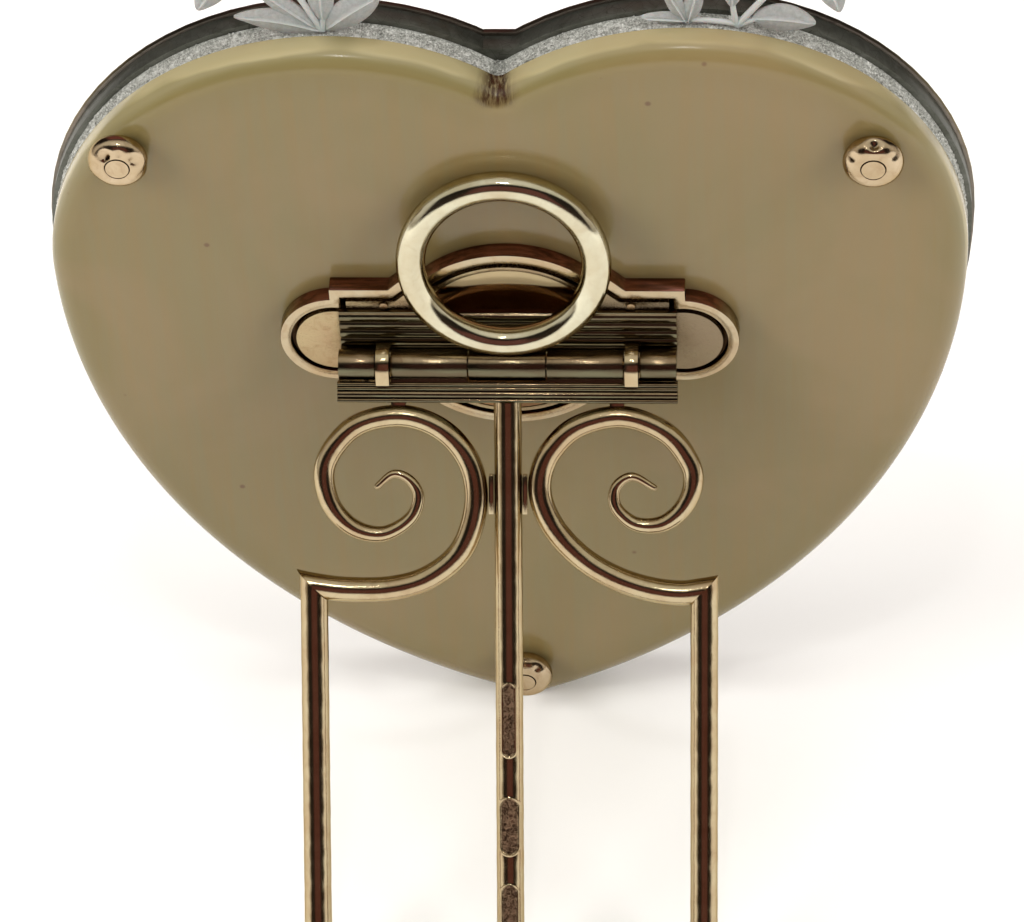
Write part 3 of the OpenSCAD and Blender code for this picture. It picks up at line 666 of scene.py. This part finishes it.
LEFT_PATH = [(-16.6, -14.5), (-15, -14.9), (-13.3, -15.25), (-11, -15.5), (-8, -15.4),
             (-5.4, -14.6), (-3.2, -12.7), (-2.2, -9.6), (-2.6, -6.75), (-4.4, -4.5), (-7.2, -3.5),
             (-10.4, -4.25), (-12.4, -6.75), (-12.2, -9.35), (-10.7, -11.15), (-8.6, -11.65),
             (-6.7, -10.6), (-6.1, -9.05), (-6.7, -7.9), (-7.8, -7.5), (-8.9, -8.35)]
RIGHT_PATH = [(16.6, -14.8), (15, -15.1), (13.3, -15.4), (11.6, -15.6), (9.4, -15.3), (7.2, -14.55),
              (5.1, -13.3), (3.3, -11.45), (2.3, -9.45), (2.2, -7.6), (3, -5.75), (4.8, -4.15),
              (7.8, -3.5), (10.7, -4.6), (12.3, -6.65), (12.5, -8.25), (11.8, -9.8),
              (10.4, -10.85), (8.6, -10.85), (7.3, -9.7), (7.3, -8.35), (8.4, -7.6), (9.9, -8.35)]
# the scrolls' wire thins slowly up to a point along it, and then quickly to its tip
WIRE_ROOT, WIRE_LATE, WIRE_TIP, WIRE_TURN = 0.88, 0.74, 0.22, 0.65
CUT_GAP = 0.012


def wire_radius(s):
    if s < WIRE_TURN:
        return WIRE_ROOT + (WIRE_LATE - WIRE_ROOT) * s / WIRE_TURN
    return WIRE_LATE + (WIRE_TIP - WIRE_LATE) * ((s - WIRE_TURN) / (1 - WIRE_TURN)) ** 1.5


for name, path, hand in (("left_scroll", LEFT_PATH, -1), ("right_scroll", RIGHT_PATH, 1)):
    bm = bmesh.new()
    wire(bm, smooth_curve(path, 8), wire_radius, 22, tip=True)
    mitre = Vector((hand * (LEG_X - CUT_GAP), CORNER_Y - CUT_GAP, 0))
    slice_off(bm, mitre, Vector((hand, -1, 0)).normalized())
    piece(name + "_wire", bm, ON_STRUT, scroll_gold, "strut", name)


FINE_STEP, COARSE_STEP = 0.05, 0.16
LIP_HEIGHT, RECESS_DEPTH = 0.035, 0.13


def bar(name, x, span, cuts, node, material, dips=()):
    """A round bar down the strut, with wavers of a hand-drawn wire and soft recesses.

    Each cut is (point, normal) and each dip is (first station, last station, half width).
    """
    bm = bmesh.new()
    layer = bm.verts.layers.float.new("pressed")
    stations, u = [], span[0]
    while u < span[1]:
        stations.append(u)
        near = any(first - 0.4 < u < first + half + 0.3 or last - half - 0.3 < u < last + 0.4
                   for first, last, half in dips)
        u += FINE_STEP if near else COARSE_STEP
    stations.append(span[1])
    front = [-60 + 3 * k for k in range(41)] if dips else [-60 + 10 * k for k in range(13)]
    angles = [math.radians(a) for a in front + [70 + 10 * k for k in range(23)]]
    rings, marks = [], []
    for u in stations:
        waver = 0.99 + 0.006 * math.sin(u * 1.7 + x) + 0.004 * math.sin(u * 4.1)
        ring, mark = [], []
        for a in angles:
            px, pz = BAR_R * math.sin(a), BAR_R * math.cos(a)
            drop = pressed = 0.0
            for first, last, half in dips:
                if pz > 0 and first - 0.4 < u < last + 0.4:
                    beyond = max(first + half - u, u - last + half, 0)
                    inside = half - math.hypot(beyond, px)
                    press = min(max(inside / 0.07, 0), 1)
                    press *= press * (3 - 2 * press)
                    lip = math.exp(-((inside + 0.05) / 0.045) ** 2)
                    # the floor of a recess is nearly flat, so it deepens towards the middle
                    drop += press * (0.05 + RECESS_DEPTH * (1 - (px / half) ** 2)) - LIP_HEIGHT * lip
                    pressed = max(pressed, press)
            scale = waver * (1 - drop / BAR_R)
            ring.append(Vector((x + px * scale, -u, pz * scale)))
            mark.append(pressed)
        rings.append(ring)
        marks.append(mark)
    for mark, verts in zip(marks, skin(bm, rings)):
        for value, v in zip(mark, verts):
            v[layer] = value
    for point, normal in cuts:
        slice_off(bm, Vector(point), Vector(normal).normalized())
    piece(name, bm, ON_STRUT, material, "strut", node)


for name, hand in (("left_leg", -1), ("right_leg", 1)):
    corner, heel = (hand * LEG_X, CORNER_Y, 0), (hand * LEG_X, -FOOT_U, 0)
    bar(name + "_bar", hand * LEG_X, (-CORNER_Y - BAR_R - 0.2, FOOT_U + BAR_R + 0.2),
        [(corner, (-hand, 1, 0)), (heel, (-hand, -1, 0))], name, bar_gold)

RECESSES = ((21.8, 26.9, 0.42), (29.8, 33.8, 0.62), (35.9, 40.4, 0.52))
bar("middle_bar", 0.0, (-RAIL_FOOT - 0.02, FOOT_U), [], "strut_rod", mark_gold, RECESSES)

bm = bmesh.new()
foot_half, steps = LEG_X + 1.3, 120
foot = [Vector((foot_half * (2 * i / steps - 1), -FOOT_U, 0)) for i in range(steps + 1)]
wire(bm, foot, lambda s: BAR_R * (1 - 0.004 * math.sin(60 * s) ** 2), 40)
for hand in (-1, 1):
    slice_off(bm, Vector((hand * (LEG_X - 0.01), -FOOT_U, 0)), Vector((hand, 1, 0)).normalized())
piece("foot_rail", bm, ON_STRUT, bar_gold, "strut", "foot_bar")

# ---- hanging ring -------------------------------------------------------------

bm = bmesh.new()
rings = []
thick = RING_WIRE * 0.995
for i in range(144):
    a = 2 * math.pi * i / 144
    out = Vector((math.cos(a), math.sin(a), 0))
    flat = 1 + 0.006 * math.sin(3 * a + 0.7)
    rings.append([Vector((0, RING_REACH, 0)) + out * (RING_R + thick * math.cos(b) * flat)
                  + Vector((0, 0, thick * math.sin(b)))
                  for b in [2 * math.pi * k / 28 for k in range(28)]])
rings.append(rings[0])
skin(bm, rings, cap_low=False, cap_high=False)
piece("ring_loop", bm, ON_RING, ring_gold, "ring", "hanging_ring")

# ---- ball nuts ----------------------------------------------------------------


def nut_profile():
    """(radius, height) points of a bun, from its base round to the stud's bore."""
    half = NUT_H / 2
    bore = STUD_R + 0.05
    rim = [(NUT_R - half + half * math.cos(a), half + half * math.sin(a))
           for a in [math.radians(-88 + 8 * k) for k in range(22)]]
    top = [(NUT_R - half - 0.12 * k, NUT_H - 0.002 * k) for k in range(1, 4)]
    return [(bore, 0.02), (1.0, 0.0)] + rim + [p for p in top if p[0] > bore + 0.05] + [
        (bore + 0.04, NUT_H - 0.01), (bore, NUT_H - 0.05), (bore, NUT_H - 0.5)]


def dents(pits):
    """Pushes points in towards the nut's middle round each pit (x, y, z, radius, depth)."""
    def bend(p):
        middle = Vector((0, 0, NUT_H / 2))
        clear_of_bore = min(max((math.hypot(p.x, p.y) - STUD_R - 0.1) / 0.4, 0), 1)
        for x, y, z, r, depth in pits:
            away = (p - Vector((x, y, z))).length / r
            if away < 1.6:
                pull = clear_of_bore * depth * math.exp(-(away * 1.5) ** 2)
                p = p + (middle - p).normalized() * pull
        return p
    return bend


PITS = {
    "left": [(-0.75, 1.05, 1.6, 0.6, 0.6), (0.25, 1.25, 1.6, 0.35, 0.25),
             (1.15, 0.6, 1.45, 0.6, 0.45), (-1.5, 0.1, 1.35, 0.45, 0.2),
             (1.75, -0.3, 0.9, 0.55, 0.16), (-1.3, -1.2, 1.1, 0.5, 0.1)],
    "right": [(0.05, 1.85, 1.2, 0.5, 0.5), (-1.3, 0.9, 1.4, 0.45, 0.22),
              (1.25, 0.95, 1.35, 0.45, 0.2)],
    "bottom": [(0.9, 1.3, 1.4, 0.4, 0.2)],
}
NUT_GAP = 0.03
for which, spot in STUDS.items():
    bm = bmesh.new()
    rings = lathe(nut_profile(), spot, 64, dents(PITS[which]))
    skin(bm, rings, cap_low=False, cap_high=False)
    bmesh.ops.translate(bm, verts=bm.verts, vec=(0, 0, NUT_GAP))
    piece("bun_nut_" + which, bm, ON_FRAME, nut_gold, "nut_" + which, "ball_nut_" + which)

# ---- leaf sprays --------------------------------------------------------------


def leaf(bm, layer, base, angle, length, width, curl, round_end):
    """A carved leaf with a rib between two grooves, arched across and curled along."""
    along = Vector((math.cos(angle), math.sin(angle), 0))
    across = Vector((-along.y, along.x, 0))
    rows, cols = 22, 13
    rings = []
    for i in range(rows + 1):
        t = 0.5 - 0.5 * math.cos(math.pi * i / rows)
        shape = math.sin(math.pi * t ** (0.82 + 0.2 * round_end))
        w = width / 2 * max(shape, 0.0) ** (0.8 - 0.25 * round_end) + 0.03
        ring = []
        centre = base + along * (length * t) + across * (curl * math.sin(math.pi * t))
        for face in (1, -1):
            for k in range(cols):
                u = face * (1 - 2 * k / (cols - 1))
                arch = 0.22 * (0.6 - abs(u) ** 1.6) * min(1, 3 * shape)
                rib = 0.07 * math.exp(-(u / 0.09) ** 2)
                rib -= 0.05 * math.exp(-((abs(u) - 0.2) / 0.1) ** 2)
                z = (arch + rib * min(1, 2 * shape)) * (1 if face > 0 else 0.4) + 0.1 * face
                ring.append((centre + across * (u * w) + Vector((0, 0, z)), abs(u)))
        rings.append(ring)
    made = skin(bm, [[p for p, u in ring] for ring in rings])
    for ring, verts in zip(rings, made):
        for (p, u), v in zip(ring, verts):
            v[layer] = u


def build_spray(name, x, leaves, stems, node):
    """Each leaf is (dx, dy, angle, length, width, curl, roundness), each stem a list of points."""
    y = LOBE_LEVEL + math.sqrt(LOBE_R ** 2 - (abs(x) - LOBE_X) ** 2) + SKEW * x
    root = Vector((x, y, -IVORY_T - 0.4))
    bm = bmesh.new()
    layer = bm.verts.layers.float.new("rib")
    for dx, dy, angle, length, width, curl, blunt in leaves:
        leaf(bm, layer, root + Vector((dx, dy, 0)), math.radians(angle), length, width, curl, blunt)
    for stem in stems:
        stalk = bmesh.new()
        line = [root + p for p in smooth_curve(stem, 6)]
        wire(stalk, line, lambda t: 0.23 - 0.07 * t, 12, tip=True)
        mesh = bpy.data.meshes.new("stalk")
        stalk.to_mesh(mesh)
        bm.from_mesh(mesh)
        bpy.data.meshes.remove(mesh)
        stalk.free()
    piece(name, bm, ON_FRAME, leaf_glass, "frame", node)


build_spray("carved_spray_left", -11.3,
            [(0, 0.1, 168, 5.8, 1.9, -0.25, 0), (-0.4, 0.4, 136, 6, 1.3, 0.1, 0),
             (0.1, 0.9, 88, 5, 1.7, 0.1, 0), (0.2, 0.2, 38, 4.6, 2.1, 0.1, 0.8),
             (-5.7, 5.3, 236, 4.1, 1.9, 0, 0.6), (-3.2, 5.6, 100, 2.9, 1.1, 0, 0)],
            [[(0, 0.1), (-1.7, 3.6), (-3.4, 5.5), (-5.6, 5.3)], [(0, 0.1), (0.1, 1.2), (0.1, 2.4)],
             [(-3.3, 5.4), (-3.25, 5.9), (-3.2, 6.4)]], "leaf_spray_left")
build_spray("carved_spray_right", 15.6,
            [(1, 0.8, -7, 4.1, 2.2, 0.15, 0.3), (5.4, 5, -72, 3.9, 1.8, 0, 0.5),
             (-0.3, 1.7, 88, 3.7, 1.3, 0, 0), (-3.2, 0.3, 115, 3.7, 1.05, 0, 0),
             (-3.2, 0.3, 76, 3.7, 1.15, 0, 0), (-3, 0.6, 176, 3.2, 0.9, 0, 0),
             (3.2, 4, 70, 3.3, 1.3, 0, 0)],
            [[(0, 0.1), (1.5, 2.1), (3.3, 4.2), (5.3, 5.0)], [(0, 0.1), (-0.2, 1.2), (-0.3, 2.6)],
             [(0, 0.1), (1, 0.6), (2, 0.8)], [(0.3, 0.2), (-1.6, 0.5), (-3.4, 0.6)],
             [(3.2, 4.1), (3.35, 4.5), (3.5, 4.9)]], "leaf_spray_right")

# ---- CAD nodes that stay ------------------------------------------------------

# each node's material, and the width of its softened edges in mm
STAY = {
    "dark_rim": (dark_silver, 0.08),
    "gold_edge": (edge_gold, 0.07),
    "window_bezel": (bar_gold, 0.05),
    "crystal_front": (crystal, 0),
    "picture_mount": (mount_paper, 0),
    "picture_card": (picture_paper, 0),
    "backing_board": (backing_card, 0),
    "stud_left": (nut_gold, 0.06),
    "stud_right": (nut_gold, 0.06),
    "stud_bottom": (nut_gold, 0.06),
    "cartouche_base": (cartouche_gold, 0.09),
    "wing_panels": (panel_gold, 0.04),
    "cartouche_dish": (dish_gold, 0.03),
    "cartouche_rivets": (pin_gold, 0.04),
    "cartouche_pins": (panel_gold, 0),
    "hinge_leaf": (hinge_gold, 0.03),
    "stop_lugs": (lug_gold, 0.1),
    "hinge_pin": (pin_gold, 0.03),
    "strut_rail": (hinge_gold, 0.03),
    "scroll_ties": (bar_gold, 0.05),
    "ring_knuckle": (hinge_gold, 0.04),
}
WELD_WITHIN, BEVEL_FROM, SPLIT_FROM = 2e-6, math.radians(40), math.radians(36)
for name, (material, bevel) in STAY.items():
    node = frame["nodes"][name]
    node.data.materials.clear()
    node.data.materials.append(material)
    if "custom_normal" in node.data.attributes:
        node.data.attributes.remove(node.data.attributes["custom_normal"])
    node.data.polygons.foreach_set("use_smooth", [True] * len(node.data.polygons))
    weld = node.modifiers.new("weld", "WELD")
    weld.merge_threshold = WELD_WITHIN
    if bevel:
        soft = node.modifiers.new("soft_edges", "BEVEL")
        soft.width, soft.segments, soft.limit_method = bevel * MM, 2, "ANGLE"
        soft.angle_limit = BEVEL_FROM
        soft.use_clamp_overlap = True
    split = node.modifiers.new("crisp", "EDGE_SPLIT")
    split.split_angle = SPLIT_FROM

# ---- floor and light ----------------------------------------------------------

floor_mesh = bpy.data.meshes.new("floor")
floor_mesh.from_pydata([(-3, -3, 0), (3, -3, 0), (3, 3, 0), (-3, 3, 0)], [], [(0, 1, 2, 3)])
floor = bpy.data.objects.new("floor", floor_mesh)
scene.collection.objects.link(floor)
s = Shader("floor")
grey = s.ramp(s.noise(0.004, 2.0, 0.5), [(0.3, 0.88), (0.7, 0.90)])
floor_mesh.materials.append(s.set(Base_Color=grey, Roughness=0.7))

FRAME_MIDDLE = Vector((0, 0, 0.035))


def softbox(name, place, size, power, colour=(1, 1, 1), mirrored=False):
    """A soft light that points at the frame's middle. Only a mirrored one shows in the metal."""
    lamp = bpy.data.lights.new(name, "AREA")
    lamp.shape, lamp.size, lamp.size_y = "RECTANGLE", size[0], size[1]
    lamp.energy, lamp.color = power, colour
    made = bpy.data.objects.new(name, lamp)
    made.location = place
    made.rotation_mode = "QUATERNION"
    made.rotation_quaternion = (FRAME_MIDDLE - Vector(place)).to_track_quat("-Z", "Y")
    made.visible_glossy = mirrored
    scene.collection.objects.link(made)


softbox("key", (0.60, 0.30, 0.42), (0.45, 0.45), 5.4, (1.0, 0.98, 0.94))
softbox("fill", (-0.62, 0.30, 0.38), (0.45, 0.45), 4.4, (1.0, 0.98, 0.95))
softbox("top", (0.0, 0.0, 0.80), (0.5, 0.4), 1.7)
softbox("glint", (0.01, 0.32, 0.70), (0.04, 0.03), 0.3, mirrored=True)
softbox("front", (0.25, -0.55, 0.30), (0.6, 0.4), 1.6, (1.0, 0.98, 0.95))

# The room that the metal mirrors: pale walls, a bright ceiling, and a dark doorway opposite
# the back of the frame. Bands go by the angle up and over from the doorway's side, as parts
# of a half turn.
world = bpy.data.worlds.new("studio")
scene.world = world
world.use_nodes = True
tree, links = world.node_tree, world.node_tree.links
where = tree.nodes.new("ShaderNodeTexCoord").outputs["Generated"]


def math_node(operation, *values):
    made = tree.nodes.new("ShaderNodeMath")
    made.operation = operation
    for socket, value in zip(made.inputs, values):
        if isinstance(value, bpy.types.NodeSocket):
            links.new(value, socket)
        else:
            socket.default_value = value
    return made.outputs[0]


def along_direction(direction):
    made = tree.nodes.new("ShaderNodeVectorMath")
    made.operation = "DOT_PRODUCT"
    links.new(where, made.inputs[0])
    made.inputs[1].default_value = direction
    return made.outputs["Value"]


def world_ramp(value, stops):
    made = tree.nodes.new("ShaderNodeValToRGB")
    links.new(value, made.inputs[0])
    fill_ramp(made.color_ramp.elements, stops)
    return made.outputs[0]


doorway = (math.sin(AZIMUTH), -math.cos(AZIMUTH), 0)
angle_over = math_node("ARCTAN2", along_direction((0, 0, 1)), along_direction(doorway))
over = math_node("DIVIDE", angle_over, math.pi)
aside = math_node("ABSOLUTE", along_direction((doorway[1], -doorway[0], 0)))
MAROON, BLACK, CREAM = (0.17, 0.07, 0.06), (0.025, 0.02, 0.016), (0.79, 0.76, 0.66)
middle_band = world_ramp(over, [
    (0.0, (0.08, 0.05, 0.04)), (0.04, MAROON), (0.19, MAROON), (0.225, BLACK), (0.28, BLACK),
    (0.31, CREAM), (0.40, (1, 0.97, 0.9)), (0.52, CREAM), (0.60, (0.30, 0.22, 0.18)),
    (0.65, BLACK), (0.70, (0.26, 0.09, 0.08)), (0.90, MAROON), (0.97, (0.35, 0.30, 0.26))])
edge_band = world_ramp(over, [
    (0.0, (0.05, 0.035, 0.027)), (0.19, BLACK), (0.28, BLACK), (0.33, CREAM), (0.55, CREAM),
    (0.65, BLACK), (0.9, BLACK)])
walls = world_ramp(over, [
    (0.0, (0.50, 0.44, 0.37)), (0.12, (0.66, 0.60, 0.52)), (0.35, (0.80, 0.75, 0.67)),
    (0.6, (0.70, 0.64, 0.57)), (1.0, (0.40, 0.35, 0.30))])


def world_mix(factor, a, b):
    made = tree.nodes.new("ShaderNodeMix")
    made.data_type = "RGBA"
    links.new(factor, made.inputs["Factor"])
    links.new(a, made.inputs[6])
    links.new(b, made.inputs[7])
    return made.outputs[2]


def step(value, low, high):
    made = tree.nodes.new("ShaderNodeMapRange")
    links.new(value, made.inputs[0])
    made.inputs[1].default_value, made.inputs[2].default_value = low, high
    return made.outputs[0]


room = world_mix(step(aside, 0.32, 0.44), middle_band, edge_band)
room = world_mix(step(aside, 0.80, 0.90), room, walls)
links.new(room, tree.nodes["Background"].inputs[0])
tree.nodes["Background"].inputs[1].default_value = 0.9
scene.view_settings.view_transform = "Standard"
